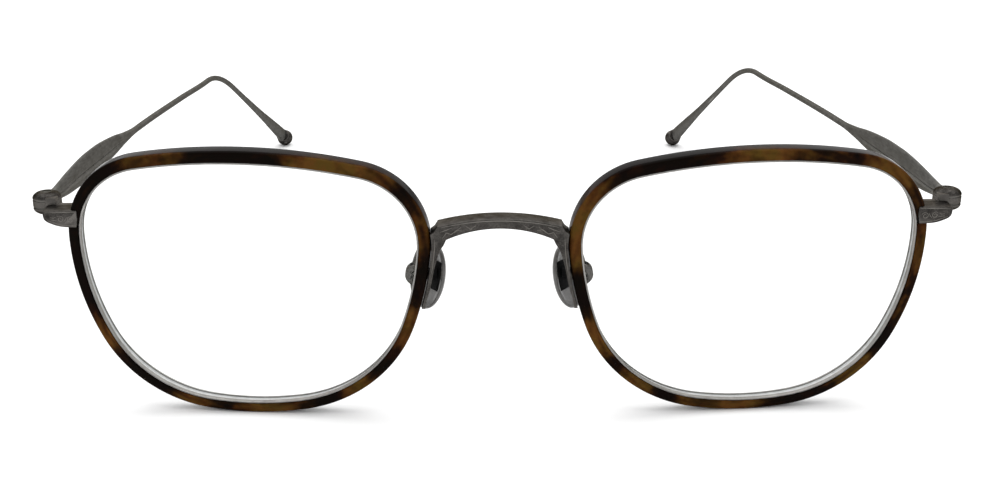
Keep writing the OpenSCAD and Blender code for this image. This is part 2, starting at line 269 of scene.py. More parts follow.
def loft(name, rings, closed=False):
    """Skin over rings of equally many points. Open lofts get flat ends."""
    n, m = len(rings), len(rings[0])
    verts = [v for ring in rings for v in ring]
    faces = quads(n, m, closed, True)
    if not closed:
        faces += [tuple(range(m)), tuple(range((n - 1) * m, n * m))]
    return solid(name, verts, faces)


def upright(name, outline, y0, y1):
    """An outline in X and Z made solid from y0 back to y1."""
    return loft(name, [[(p[0], y, p[1]) for p in outline] for y in (y0, y1)])


def lathe(name, profile, sides=48, closed=False, matrix=Matrix()):
    """A profile of (radius, height) turned round Z. A closed profile makes a ring."""
    rings = []
    for k in range(sides):
        a = 2 * math.pi * k / sides
        rings.append([matrix @ Vector((r * math.cos(a), r * math.sin(a), h)) for r, h in profile])
    verts = [v for ring in rings for v in ring]
    return solid(name, verts, quads(sides, len(profile), True, closed))


def block(name, low, high, matrix=Matrix()):
    """A box from its lowest to its highest corner."""
    (x0, y0, z0), (x1, y1, z1) = low, high
    rings = [[(x0, y, z0), (x1, y, z0), (x1, y, z1), (x0, y, z1)] for y in (y0, y1)]
    return loft(name, [[matrix @ Vector(v) for v in ring] for ring in rings])


def along_y(r, y0, y1, centre, name, edge=0.1, sides=40):
    """A rod along Y with softened ends."""
    h = y1 - y0
    profile = [(0, 0), (r - edge, 0), (r - edge * 0.3, edge * 0.3), (r, edge)]
    profile += [(r, h - edge), (r - edge * 0.3, h - edge * 0.3), (r - edge, h), (0, h)]
    turn = Matrix.Translation((centre[0], centre[1] + y0, centre[2])) @ Matrix.Rotation(-math.pi / 2, 4, "X")
    return lathe(name, profile, sides, matrix=turn)


def settle(obj):
    """Applies the object's modifiers."""
    mesh = bpy.data.meshes.new_from_object(obj.evaluated_get(bpy.context.evaluated_depsgraph_get()))
    obj.modifiers.clear()
    old, obj.data = obj.data, mesh
    bpy.data.meshes.remove(old)


def soften(obj, width, segments=2, angle=30):
    """Rounds the edges that turn by more than angle degrees."""
    bevel = obj.modifiers.new("bevel", "BEVEL")
    bevel.width = width
    bevel.segments = segments
    bevel.limit_method = "ANGLE"
    bevel.angle_limit = math.radians(angle)
    settle(obj)
    return obj


def combine(obj, others, operation="DIFFERENCE"):
    """Cuts the others out of obj, or joins them to it."""
    for other in others:
        boolean = obj.modifiers.new("boolean", "BOOLEAN")
        boolean.operation = operation
        boolean.solver = "EXACT"
        boolean.object = other
        settle(obj)
        bpy.data.objects.remove(other)
    tidy(obj)
    return obj


def merged(name, parts):
    """Separate closed shells as one object."""
    verts, faces = [], []
    for part in parts:
        start = len(verts)
        verts += [v.co.copy() for v in part.data.vertices]
        faces += [tuple(start + i for i in p.vertices) for p in part.data.polygons]
        bpy.data.objects.remove(part)
    return solid(name, verts, faces)


def bead(points, width, height, y):
    """A raised line along (x, z) points on a front face at y, thinner towards its ends."""
    rings = []
    n = len(points) - 1
    for i, (x, z) in enumerate(points):
        x0, z0 = points[max(0, i - 1)]
        x1, z1 = points[min(n, i + 1)]
        side = Vector((-(z1 - z0), x1 - x0)).normalized() * width / 2
        taper = 0.3 + 0.7 * math.sin(math.pi * (0.08 + 0.84 * i / n))
        section = ((-1, 0.03), (0, 0.06), (1, 0.03), (0.45, -height * taper), (-0.45, -height * taper))
        rings.append([(x + side.x * taper * u, y + d, z + side.y * taper * u) for u, d in section])
    return loft("bead", rings)


def mark(obj, name, values):
    """Gives each point of the mesh a number that a material can read."""
    obj.data.attributes.new(name, "FLOAT", "POINT")
    obj.data.attributes[name].data.foreach_set("value", values)


def mark_rubbed_and_highlight(obj, y):
    """Marks what stands out in front of the face at y, for the metal to paint it bright: rubbed patina on
    the scrolls, a painted highlight on the lines under top edges.
    """
    near = 0.01
    mark(obj, "rubbed_and_highlight", [1.0 if v.co.y < y - near else 0.0 for v in obj.data.vertices])


def tube(name, path, radii, sides=18):
    """A round tube along 3-D points."""
    rings = []
    up = Vector((0, 0, 1))
    for i, p in enumerate(path):
        p = Vector(p)
        d = (Vector(path[min(i + 1, len(path) - 1)]) - Vector(path[max(i - 1, 0)])).normalized()
        side = d.cross(Vector((1, 0, 0)) if abs(d.x) < 0.9 else up).normalized()
        over = side.cross(d)
        ring = []
        for k in range(sides):
            a = 2 * math.pi * k / sides
            ring.append(p + radii[i] * (math.cos(a) * side + math.sin(a) * over))
        rings.append(ring)
    return loft(name, rings)


def finish_piece(obj, side, body, nodes, material, sharp=38):
    """Mirrors and stands the piece, smooths it, gives it its material and body, and hides the CAD parts that
    it replaces.
    """
    mirror = Matrix.Scale(-1 if side < 0 else 1, 4, (1, 0, 0))
    obj.data.transform(STANDING @ mirror)
    tidy(obj, 1e-7)
    obj.data.shade_smooth()
    obj.data.set_sharp_from_angle(angle=math.radians(sharp))
    obj.data.materials.clear()
    obj.data.materials.append(material)
    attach(obj, body)
    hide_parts(*nodes)
    return obj


# ---------------------------------------------------------------- materials

def new_material(name):
    """A material with its nodes, its links and its main shader."""
    material = bpy.data.materials.new(name)
    material.use_nodes = True
    nodes = material.node_tree.nodes
    return material, nodes, material.node_tree.links, nodes["Principled BSDF"]


def texture(nodes, links, scale, detail, rough=0.55, stretch=(1, 1, 1)):
    """A noise texture's factor in the piece's own metres, scale in features per millimetre."""
    coords = nodes.new("ShaderNodeTexCoord")
    mapping = nodes.new("ShaderNodeMapping")
    factor = scale / MM
    mapping.inputs["Scale"].default_value = [factor * s for s in stretch]
    links.new(coords.outputs["Object"], mapping.inputs["Vector"])
    tex = nodes.new("ShaderNodeTexNoise")
    tex.inputs["Scale"].default_value = 1.0
    tex.inputs["Detail"].default_value = detail
    tex.inputs["Roughness"].default_value = rough
    links.new(mapping.outputs["Vector"], tex.inputs["Vector"])
    return tex.outputs["Fac"]


def ramp(nodes, links, source, stops):
    """A colour from a factor, by (position, colour) stops."""
    node = nodes.new("ShaderNodeValToRGB")
    elements = node.color_ramp.elements
    while len(elements) < len(stops):
        elements.new(0.5)
    for element, (position, colour) in zip(elements, stops):
        element.position = position
        element.color = (*colour, 1)
    links.new(source, node.inputs["Fac"])
    return node.outputs["Color"]


def spread(nodes, links, source, low, high, start=0.3, stop=0.7):
    """A factor's range from start to stop, spread from low to high."""
    node = nodes.new("ShaderNodeMapRange")
    for name, value in (("From Min", start), ("From Max", stop), ("To Min", low), ("To Max", high)):
        node.inputs[name].default_value = value
    links.new(source, node.inputs["Value"])
    return node.outputs["Result"]


def calculated(nodes, links, operation, one, two):
    """A sum, power or the like of a socket and a socket or number."""
    node = nodes.new("ShaderNodeMath")
    node.operation = operation
    links.new(one, node.inputs[0])
    if isinstance(two, bpy.types.NodeSocket):
        links.new(two, node.inputs[1])
    else:
        node.inputs[1].default_value = two
    return node.outputs[0]


def attribute(nodes, name):
    """The number that mark() gave each point of the piece."""
    node = nodes.new("ShaderNodeAttribute")
    node.attribute_name = name
    return node.outputs["Fac"]


def mixed(nodes, links, factor, one, two, blend="MIX"):
    """Two colours mixed. Factor and colours are sockets or plain values."""
    node = nodes.new("ShaderNodeMix")
    node.data_type = "RGBA"
    node.blend_type = blend
    sockets = {s.identifier: s for s in node.inputs}
    for key, value in (("Factor_Float", factor), ("A_Color", one), ("B_Color", two)):
        if isinstance(value, bpy.types.NodeSocket):
            links.new(value, sockets[key])
        elif key == "Factor_Float":
            sockets[key].default_value = value
        else:
            sockets[key].default_value = (*value, 1)
    return next(s for s in node.outputs if s.identifier == "Result_Color")


def bump(nodes, links, shader, heights):
    """Chains (height socket, distance in mm) bumps into the shader's normal."""
    last = None
    for socket, distance in heights:
        node = nodes.new("ShaderNodeBump")
        node.inputs["Strength"].default_value = 1.0
        node.inputs["Distance"].default_value = distance * MM
        links.new(socket, node.inputs["Height"])
        if last:
            links.new(last, node.inputs["Normal"])
        last = node.outputs["Normal"]
    links.new(last, shader.inputs["Normal"])


# Darkens the metals where they are seen at a low angle, as a patina does
EDGE_TINT = (0.4, 0.39, 0.37)
# Raised lines, painted brighter: patina rubbed off the scrolls, and a painted highlight on the lines under
# the top edges
RUBBED_AND_HIGHLIGHT_METAL = (0.17, 0.16, 0.145)
# How much an edge that is rubbed bright outshines the metal's light tone
RUBBED = 2.6


def metal(name, dark, light, roughness, grain=(1, 1, 1), rub=1.0, speckle=1.0):
    """Aged plated metal: blotchy tone and fine scratches, brighter on worn edges, and painted brighter on
    raised lines as rubbed patina and painted highlight.
    """
    material, nodes, links, shader = new_material(name)
    blotch = texture(nodes, links, 0.9, 4.0)
    fine = texture(nodes, links, 6.0, 2.0, stretch=grain)
    tone = ramp(nodes, links, blotch, ((0.32, dark), (0.68, light)))
    low, high = 1 - 0.42 * speckle, 1 + 0.32 * speckle
    speck = ramp(nodes, links, fine, ((0.35, (low, low, low)), (0.65, (high, high, high))))
    colour = mixed(nodes, links, 1.0, tone, speck, "MULTIPLY")
    geometry = nodes.new("ShaderNodeNewGeometry")
    wear = spread(nodes, links, geometry.outputs["Pointiness"], 0.0, 0.55 * rub, 0.52, 0.6)
    colour = mixed(nodes, links, wear, colour, tuple(min(1, RUBBED * c) for c in light))
    # Raised lines get a brighter colour: rubbed patina on the scrolls, a painted highlight on the lines
    # under the top edges
    colour = mixed(nodes, links, attribute(nodes, "rubbed_and_highlight"), colour, RUBBED_AND_HIGHLIGHT_METAL)
    links.new(colour, shader.inputs["Base Color"])
    shader.inputs["Metallic"].default_value = 1.0
    shader.inputs["Specular Tint"].default_value = (*EDGE_TINT, 1)
    shine = spread(nodes, links, blotch, roughness - 0.06, roughness + 0.08)
    links.new(shine, shader.inputs["Roughness"])
    bump(nodes, links, shader, ((blotch, 0.05), (fine, 0.022)))
    return material


def tortoise():
    """Polished acetate: amber and olive patches under near-black, placed by the piece's own attribute, which
    also holds painted shade on the cover's side and back.
    """
    material, nodes, links, shader = new_material("tortoise_acetate")
    cloud = texture(nodes, links, 0.28, 4.0, 0.6)
    streak = texture(nodes, links, 1.1, 3.0, 0.5)
    streaks = spread(nodes, links, streak, -0.09, 0.09)
    # The amber attribute carries the pattern and painted shade on the cover's side and back
    depth = calculated(nodes, links, "ADD", attribute(nodes, "amber"), streaks)
    base = ramp(nodes, links, depth, (
        (0.16, (0.004, 0.0025, 0.002)), (0.42, (0.011, 0.0045, 0.0022)),
        (0.64, (0.04, 0.016, 0.004)), (0.95, (0.088, 0.0425, 0.0095)),
    ))
    olive = ramp(nodes, links, cloud, ((0.4, (1.08, 0.9, 0.9)), (0.6, (0.85, 0.97, 0.8))))
    links.new(mixed(nodes, links, 1.0, base, olive, "MULTIPLY"), shader.inputs["Base Color"])
    ripple = texture(nodes, links, 0.5, 2.0)
    links.new(spread(nodes, links, ripple, 0.1, 0.2), shader.inputs["Roughness"])
    shader.inputs["IOR"].default_value = 1.07
    bump(nodes, links, shader, ((ripple, 0.02),))
    return material


def lens_material():
    """Clear lens: it mirrors more the flatter it is seen, alike on both faces, and lets the rest through."""
    material, nodes, links, shader = new_material("clear_lens")
    nodes.remove(shader)
    output = nodes["Material Output"]
    through = nodes.new("ShaderNodeBsdfTransparent")
    mirror = nodes.new("ShaderNodeBsdfGlossy")
    through.inputs["Color"].default_value = (0.985, 0.99, 0.988, 1)
    cloud = texture(nodes, links, 0.05, 2.0)
    links.new(spread(nodes, links, cloud, 0.02, 0.05), mirror.inputs["Roughness"])
    weight = nodes.new("ShaderNodeLayerWeight")
    weight.inputs["Blend"].default_value = 0.5
    slant = calculated(nodes, links, "POWER", weight.outputs["Facing"], 5.0)
    mix = nodes.new("ShaderNodeMixShader")
    links.new(spread(nodes, links, slant, 0.017, 0.55, 0.0, 1.0), mix.inputs[0])
    links.new(through.outputs[0], mix.inputs[1])
    links.new(mirror.outputs[0], mix.inputs[2])
    links.new(mix.outputs[0], output.inputs["Surface"])
    return material


def plastic(name, dark, light, roughness, coat=0.0, ior=1.5):
    """Moulded plastic with faint mottling and a soft orange-peel surface."""
    material, nodes, links, shader = new_material(name)
    cloud = texture(nodes, links, 0.8, 3.0)
    peel = texture(nodes, links, 4.0, 2.0)
    colour = ramp(nodes, links, cloud, ((0.35, dark), (0.65, light)))
    links.new(colour, shader.inputs["Base Color"])
    shine = spread(nodes, links, peel, roughness - 0.03, roughness + 0.04)
    links.new(shine, shader.inputs["Roughness"])
    shader.inputs["IOR"].default_value = ior
    shader.inputs["Coat Weight"].default_value = coat
    shader.inputs["Coat Roughness"].default_value = 0.05
    bump(nodes, links, shader, ((cloud, 0.02), (peel, 0.006)))
    return material


PEWTER = metal("aged_pewter", (0.024, 0.0222, 0.0208), (0.072, 0.067, 0.062), 0.38)
WIRE = metal("bright_wire", (0.22, 0.212, 0.202), (0.31, 0.3, 0.288), 0.36, rub=0.4, speckle=0.3)
TEMPLE = metal("brushed_temple", (0.088, 0.086, 0.081), (0.125, 0.122, 0.115), 0.42, (1, 0.12, 1), 0.7, 0.4)
SCREW = metal("screw_steel", (0.03, 0.029, 0.027), (0.07, 0.068, 0.063), 0.34)
GROUND = plastic("ground_lens_edge", (0.62, 0.625, 0.62), (0.74, 0.745, 0.74), 0.6)
ACETATE = tortoise()
LENS = lens_material()
PAD = plastic("pad_gloss", (0.05, 0.047, 0.044), (0.085, 0.08, 0.075), 0.22, coat=0.6)
CORE = plastic("pad_core_black", (0.002, 0.002, 0.002), (0.005, 0.005, 0.005), 0.6, ior=1.15)


# ---------------------------------------------------------------- rims and lenses

# Amber patches round each rim: (direction in degrees from the lens centre, half width, strength)
PATCHES = {
    -1: ((57, 11, 0.75), (124, 19, 1.0), (160, 10, 0.7), (195, 14, 0.85), (225, 9, 0.9), (269, 14, 0.85),
         (297, 10, 0.75), (339, 11, 0.95), (254, 9, 0.4)),
    1: ((8, 12, 0.75), (38, 13, 0.95), (60, 7, 0.45), (88, 20, 0.95), (158, 17, 1.0), (199, 11, 0.9),
        (226, 10, 0.9), (247, 8, 0.65), (267, 16, 0.95), (320, 12, 0.9), (349, 8, 0.5)),
}


def ring_points(section, station):
    """The section's (distance out, depth) points at one station of the rim."""
    p, n = station
    out = []
    for off, depth in section:
        q = p + off * n
        out.append(LENS_FRAME @ Vector((q.x, sag(q) + depth, q.y)))
    return out


def eyewire(side, name):
    """Metal channel that holds the lens, with a lip that shows inside the cover."""
    lip, wall, back = -0.28, 0.46, 2.6
    section = rounded((
        (lip, 0.22, 0.08), (-0.02, 0.22, 0.05), (-0.02, 0.7, 0), (wall, 0.7, 0.03), (wall, back, 0.08),
        (GROOVE, back, 0.08), (GROOVE, 2.0, 0.03), (-GROOVE, 2.0, 0.06), (-GROOVE, 1.84, 0.05),
        (GROOVE, 1.84, 0.03), (GROOVE, 0.86, 0.03), (lip, 0.86, 0.05),
    ), 3)
    ring = loft("eyewire_metal_" + name, [ring_points(section, s) for s in RIM], True)
    finish_piece(ring, side, "front", ["eyewire_" + name], WIRE, 45)


def acetate(side, name):
    """Tortoise cover round the eyewire's front and outer side, notched for the endpiece."""
    front_t, wall = 0.66, 0.5
    section = rounded((
        (0, 0, 0.2), (0.75, 0, 0.3), (COVER_W, 0, 0.5), (COVER_W, COVER_D, 0.25),
        (wall, COVER_D, 0.05), (wall, front_t, 0), (0, front_t, 0.05),
    ), 5)
    ring = loft("acetate_cover_" + name, [ring_points(section, s) for s in RIM], True)
    notch = block("notch", (BLOCK[0] - 0.03, -3, BLOCK[2] - 0.05), (BLOCK[0] + 6, 12, BLOCK[3] + 0.05))
    combine(ring, [notch])
    # The amber number holds the tortoise pattern and painted shade on the side and back
    mark(ring, "amber", [amber_and_shade_at(v.co, side) for v in ring.data.vertices])
    finish_piece(ring, side, "front", ["rim_cover_" + name], ACETATE, 40)


def amber_and_shade_at(point, side):
    """How far the tortoise pattern has turned from black to amber at a point of the cover, darkened on the
    cover's side and back as painted shade.
    """
    local = LENS_FRAME.inverted() @ point
    angle = math.degrees(math.atan2(local.z, local.x)) % 360
    seed = Vector((side * 17.0, 5.0, 3.0))
    angle += 5 * noise.noise(local * 0.35 + seed)
    total = 0.0
    for middle, half, strength in PATCHES[side]:
        away = abs((angle - middle + 180) % 360 - 180) / half
        total = max(total, strength * max(0.0, 1.0 - away ** 2.6 * 0.55) ** 1.4)
    streak = Vector((angle * 0.13, math.hypot(local.x, local.z) * 1.6, local.y * 1.6))
    grain = 0.3 * noise.noise(streak + seed) + 0.1 * noise.noise(local * 0.25 - seed)
    depth = local.y - sag(Vector((local.x, local.z)))
    # Painted shade: the amber is darkened on the cover's side and back, behind the rounded front edge
    outer = min(1.0, max(0.0, (depth - 0.2) / 0.5))
    return min(1.0, max(0.0, 0.1 + 0.85 * total + grain)) * (1 - 0.6 * outer)


def lens(side, name):
    """A thin meniscus with a bevelled, ground edge in the eyewire's groove."""
    rings, bevel, bevel_start, skin = 16, 0.13, 0.994, 0.05
    outline = [p + LENS_OFF * n for p, n in RIM]

    def depth(p, back):
        """Y of the spherical face that lies back behind the front one."""
        r = p.length
        return LENS_FRONT + back + BASE_R - math.sqrt(BASE_R * BASE_R - r * r)

    profile = [(k / rings, 0.0) for k in range(rings)] + [(bevel_start, 0.0)]
    profile += [(1.0, bevel), (1.0, LENS_T / 2), (1.0, LENS_T - bevel), (bevel_start, LENS_T)]
    profile += [(k / rings, LENS_T) for k in range(rings - 1, -1, -1)]
    layers = []
    for scale, back in profile:
        layer = []
        for p in outline:
            place = (p.x * scale, depth(p * scale, back), p.y * scale)
            layer.append(LENS_FRAME @ Vector(place))
        layers.append(layer)
    obj = loft("lens_clear_" + name, layers)
    middle = set()
    for v in obj.data.vertices:
        p = LENS_FRAME.inverted() @ v.co
        if skin < p.y - depth(Vector((p.x, p.z)), 0) < LENS_T - skin:
            middle.add(v.index)
    finish_piece(obj, side, "front", ["lens_" + name], LENS, 30)
    obj.data.materials.append(GROUND)
    for face in obj.data.polygons:
        face.material_index = 1 if any(i in middle for i in face.vertices) else 0


# ---------------------------------------------------------------- bridge

def rim_edge(z):
    """X of the cover's nose side, as the bridge meets it, at height z."""
    points = [p + (COVER_W + 0.05) * n for p, n in RIM]
    points = [q for q in points if q.x < 0]
    best = None
    for a, b in zip(points, points[1:]):
        if (a.y - z) * (b.y - z) <= 0 and a.y != b.y:
            t = (z - a.y) / (b.y - a.y)
            x = a.x + t * (b.x - a.x)
            best = x if best is None else min(best, x)
    return LENS_X - RIM_LEAN + best * math.cos(WRAP)


def arc_point(x, top, radius):
    """The point (x, z) of an arc that is highest in the middle, at top."""
    return x, top - radius + math.sqrt(radius ** 2 - x * x)


def bridge_half_outline():
    """Half of the front outline, from the middle of the crown round to the middle of the arch."""
    crown_x, chamfer, shoulder, arch_x = 8.35, (8.8, 8.78), 8.35, 7.2
    steps, leg_steps = 12, 15
    crown = [arc_point(crown_x * k / steps, BAR_TOP, CROWN_R) for k in range(steps + 1)]
    heights = [shoulder - (shoulder - LEG_LOW) * k / leg_steps for k in range(leg_steps + 1)]
    outer = [(rim_edge(z), z) for z in heights]
    # (height, X) of the legs' inner side, and the heights at which it gets a point
    table = ((LEG_LOW, 10.22), (0.5, 9.42), (3.0, 8.95), (4.9, 8.45), (6.2, 7.95), (6.8, 7.55))
    inner = [(smooth_lookup(z, table), z) for z in (LEG_LOW, -1.5, 0, 1.5, 3, 4.2, 5.2, 6.1, 6.8)]
    arch = [arc_point(arch_x * k / steps, BAR_TOP - BAR_H, ARCH_R) for k in range(steps, -1, -1)]
    return crown + [chamfer] + outer + inner + arch


def inset(outline, width):
    """The outline moved inwards by width, whichever way round its points go."""
    points = [Vector(p) for p in outline]
    n = len(points)
    area = sum(points[i - 1].cross(points[i]) for i in range(n))
    out = []
    for i, p in enumerate(points):
        before = (p - points[i - 1]).normalized()
        after = (points[(i + 1) % n] - p).normalized()
        along = (before + after).normalized()
        normal = Vector((-along.y, along.x)) * (1 if area > 0 else -1)
        out.append(p + normal * width)
    return out


def rounded_upright(name, outline, y0, y1, edge):
    """An outline in X and Z made solid from y0 back to y1, with rounded front and back edges."""
    # How far in each ring lies, and how deep behind the face
    steps = ((edge, 0.0), (edge * 0.3, edge * 0.3), (0.0, edge))
    rings = [(inset(outline, w), y0 + d) for w, d in steps]
    rings += [(inset(outline, w), y1 - d) for w, d in reversed(steps)]
    return loft(name, [[(p.x, y, p.y) for p in ring] for ring, y in rings])


def raised_lines():
    """Leaf and zigzag strokes at both ends of the bar's front, and a line under its top edge, painted bright
    as the edge's highlight.
    """
    steps, half, below_top = 24, 7.9, 0.24
    strokes = []
    for side in (-1, 1):
        zig = ((7.7, 7.85), (7.2, 8.65), (6.5, 8.45), (5.7, 9.1), (5.0, 8.9))
        strokes.append([(side * x, z) for x, z in zig])
        strokes.append([(side * x, z) for x, z in ((8.0, 8.75), (7.2, 9.05), (6.4, 9.4))])
        strokes.append([(side * x, z) for x, z in ((4.6, 9.65), (3.9, 9.2), (3.2, 9.7))])
        strokes.append([(side * x, z) for x, z in ((6.15, 8.6), (5.2, 9.5))])
        strokes.append([(side * x, z) for x, z in ((8.75, 7.6), (8.8, 6.2), (9.0, 4.4), (9.25, 2.6))])
    # The line under the top edge is painted bright by the metal, as a painted highlight of that edge
    xs = [-half + 2 * half * k / steps for k in range(steps + 1)]
    strokes.append([arc_point(x, BAR_TOP - below_top, CROWN_R) for x in xs])
    return strokes


def bridge():
    """Arched bar with chamfered shoulders, legs down the rims and a foot behind each leg."""
    half = bridge_half_outline()
    outline = half + [(-x, z) for x, z in reversed(half[1:-1])]
    bar = rounded_upright("bridge_bar", outline, BAR_FRONT, BAR_FRONT + BAR_D, BAR_EDGE)
    plan = ((8.9, 2.9), (9.5, 2.9), (9.5, 3.06), (10.85, 3.06), (10.85, 3.55), (8.9, 3.55))
    feet = []
    for side in (-1, 1):
        feet.append(loft("foot", [[(side * x, y, z) for x, y in plan] for z in (4.85, 7.45)]))
    lines = [bead(points, BAR_LINE, LINE_H, BAR_FRONT) for points in raised_lines()]
    bar = merged("bridge_arch", [bar] + feet + lines)
    # Raised lines are marked for painted brightness: rubbed patina on the strokes, a painted highlight on
    # the line under the top edge
    mark_rubbed_and_highlight(bar, BAR_FRONT)
    finish_piece(bar, 1, "front", ["bridge"], PEWTER, 32)


# ---------------------------------------------------------------- endpieces and hinges

def scroll(x, z, size, turns, start, grow=1):
    """A spiral line of (x, z) points, from a start angle out to size; grow -1 turns it round."""
    out = []
    n = int(18 * turns)
    for k in range(n + 1):
        a = start + grow * 2 * math.pi * turns * k / n
        r = size * (0.25 + 0.75 * k / n)
        out.append((x + r * math.cos(a), z + r * math.sin(a)))
    return out


def endpiece(side, name):
    """Block between rim and hinge, with raised scrolls and lines and a foot behind the rim."""
    x0, x1, z0, z1 = BLOCK
    outline = rounded((
        (x0, z0, 0.1), (x0 + 2.5, z0 + 0.02, 1.0), (x1, z0 + 0.95, 0.8), (x1, z1, 0.25), (x0, z1, 0.1),
    ), 5)
    body = upright("endpiece_block_" + name, outline, *BLOCK_Y)
    soften(body, 0.11, 3, 50)
    back = block("back", (x0 + 0.02, BLOCK_Y[1] - 0.1, z0 + 0.05), (x0 + 3.1, 7.0, z1 - 0.05))
    foot = block("foot", (x0 - 1.4, 6.5, z0 + 0.1), (x0 + 0.1, 6.95, z1 - 0.1))
    combine(body, [back, foot], "UNION")
    inside = [p + GROOVE * n for p, n in RIM]
    opening = [[LENS_FRAME @ Vector((p.x, y, p.y)) for p in inside] for y in (2, 9)]
    combine(body, [loft("opening", opening)])
    strokes = [
        # Line under the top edge, painted bright by the metal as a painted highlight of that edge
        [(x0 + 0.2, z1 - 0.16), (x0 + 1.8, z1 - 0.16), (x1 - 0.3, z1 - 0.2)],
        [(x0 + 0.3, z0 + 0.28), (x0 + 1.6, z0 + 0.3), (x0 + 2.6, z0 + 0.5), (x1 - 0.55, z0 + 1.05)],
        scroll(x0 + 0.95, 9.35, 0.52, 1.4, 0.4),
        scroll(x0 + 2.3, 9.45, 0.48, 1.4, 3.3, -1),
        [(x0 + 1.4, 9.75), (x0 + 1.62, 9.35), (x0 + 1.9, 9.05)],
        [(x0 + 2.85, 9.75), (x0 + 3.2, 9.6), (x0 + 3.6, 9.65)],
        [(x0 + 2.8, 9.2), (x0 + 3.2, 9.3), (x0 + 3.65, 9.35)],
    ]
    lines = [bead(points, BLOCK_LINE, LINE_H, BLOCK_Y[0]) for points in strokes]
    body = merged("endpiece_scrolls_" + name, [body] + lines)
    # Raised lines are marked for painted brightness: a painted highlight on the top-edge line, rubbed patina
    # on the other strokes
    mark_rubbed_and_highlight(body, BLOCK_Y[0])
    finish_piece(body, side, "front", ["endpiece_" + name], PEWTER, 32)


def knuckle_profile(up):
    """The upper or the lower knuckle's profile: a flat inner end and an elliptical dome."""
    r, h, steps = KNUCKLE_R, DOME_H, 11
    profile = [(HINGE_BORE_R, 0), (r - 0.05, 0)]
    for k in range(1, steps + 1):
        a = math.pi / 2 * k / steps
        profile.append((HINGE_BORE_R + (r - HINGE_BORE_R) * math.cos(a), h * math.sin(a)))
    base = STACK_H if up else -STACK_H
    sign = 1 if up else -1
    return [(a, base + sign * b) for a, b in profile]


def hinge_front(side, name):
    """Two fixed knuckles with domed ends, on one plate behind the endpiece."""
    top = STACK_H + KNUCKLE_H
    r = KNUCKLE_R
    parts = []
    for up, low, high in ((True, STACK_H + 0.03, top - 0.14), (False, -top + 0.14, -STACK_H - 0.03)):
        knuckle = lathe("knuckle", knuckle_profile(up), 56, True, HINGE_FRAME)
        arm = block("arm", (-r + 0.12, -2.2, low), (-0.5, -0.95, high), HINGE_FRAME)
        parts.append(combine(knuckle, [arm], "UNION"))
    plate = block("plate", (-r + 0.08, -2.3, -top + 0.12), (-0.45, -2.05, top - 0.12), HINGE_FRAME)
    parts.append(soften(plate, 0.08, 2))
    barrel = merged("hinge_barrel_" + name, parts)
    finish_piece(barrel, side, "front", ["hinge_front_" + name], PEWTER, 35)


def hinge_screw(side, name):
    """Screw through the knuckles, with a low, slotted head."""
    top = STACK_H + DOME_H
    r, head = HINGE_SCREW_R, 0.68
    profile = [(0, -top), (r - 0.08, -top), (r, -top + 0.08), (r, top - 0.02), (head, top - 0.02)]
    profile += [(head, top + 0.01), (head - 0.1, top + 0.05), (head - 0.35, top + 0.08), (0, top + 0.09)]
    screw = lathe("hinge_screw_slotted_" + name, profile, 40, matrix=HINGE_FRAME)
    combine(screw, [block("slot", (-1.5, -0.13, top - 0.04), (1.5, 0.13, top + 1), HINGE_FRAME)])
    finish_piece(screw, side, "front", ["hinge_screw_" + name], SCREW, 35)


def hinge_leaf(side, name):
    """Middle knuckle that turns with the temple, with the tongue that the temple sits on."""
    r, h, bevel = KNUCKLE_R - 0.02, LEAF_H / 2, 0.08
    profile = [(HINGE_BORE_R, -h), (r - bevel, -h), (r, -h + bevel)]
    profile += [(r, h - bevel), (r - bevel, h), (HINGE_BORE_R, h)]
    leaf = lathe("hinge_knuckle_" + name, profile, 56, True, HINGE_FRAME)
    inward, down = SHAPE[side][:2]
    turn = (
        HINGE_FRAME
        @ Matrix.Rotation(math.radians(inward), 4, "Z")
        @ Matrix.Rotation(math.radians(-down), 4, "X")
    )
    combine(leaf, [block("tongue", (-0.3, 1.2, -0.3), (0.3, 5.8, 0.4), turn)], "UNION")
    finish_piece(leaf, side, "temple_" + name, ["hinge_leaf_" + name], PEWTER, 35)


# ---------------------------------------------------------------- temples

# Where the temple's path ends and begins, measured along it from the hinge
PATH_L = STRAIGHT + EAR_ARC + EAR_L - BALL_D / 2
TEMPLE_START = 2.03


def temple_angles(s, shape):
    """Inward and downward angle of the temple at distance s from the hinge, in radians."""
    bend = min(1, max(0, (s - STRAIGHT) / EAR_ARC))
    return math.radians(shape[0] + EAR_TURN * bend), math.radians(shape[1] + shape[2] * bend)


def heading(s, shape):
    """Direction in which the temple runs at distance s, in the hinge's frame."""
    i, d = temple_angles(s, shape)
    return Vector((-math.sin(i) * math.cos(d), math.cos(i) * math.cos(d), -math.sin(d)))


def temple_path(shape, step=1.0):
    """Stations (distance, centre, across, up) along the temple in the hinge's frame."""
    n = math.ceil((PATH_L - TEMPLE_START) / step)
    ds = (PATH_L - TEMPLE_START) / n
    p = TEMPLE_START * heading(0, shape) + Vector((0, 0, TEMPLE_RISE))
    out = []
    for k in range(n + 1):
        s = TEMPLE_START + k * ds
        i, d = temple_angles(s, shape)
        across = Vector((math.cos(i), math.sin(i), 0))
        up = Vector((-math.sin(i) * math.sin(d), math.cos(i) * math.sin(d), math.cos(d)))
        out.append((s, p.copy(), across, up))
        p = p + ds * heading(s + ds / 2, shape)
    return out


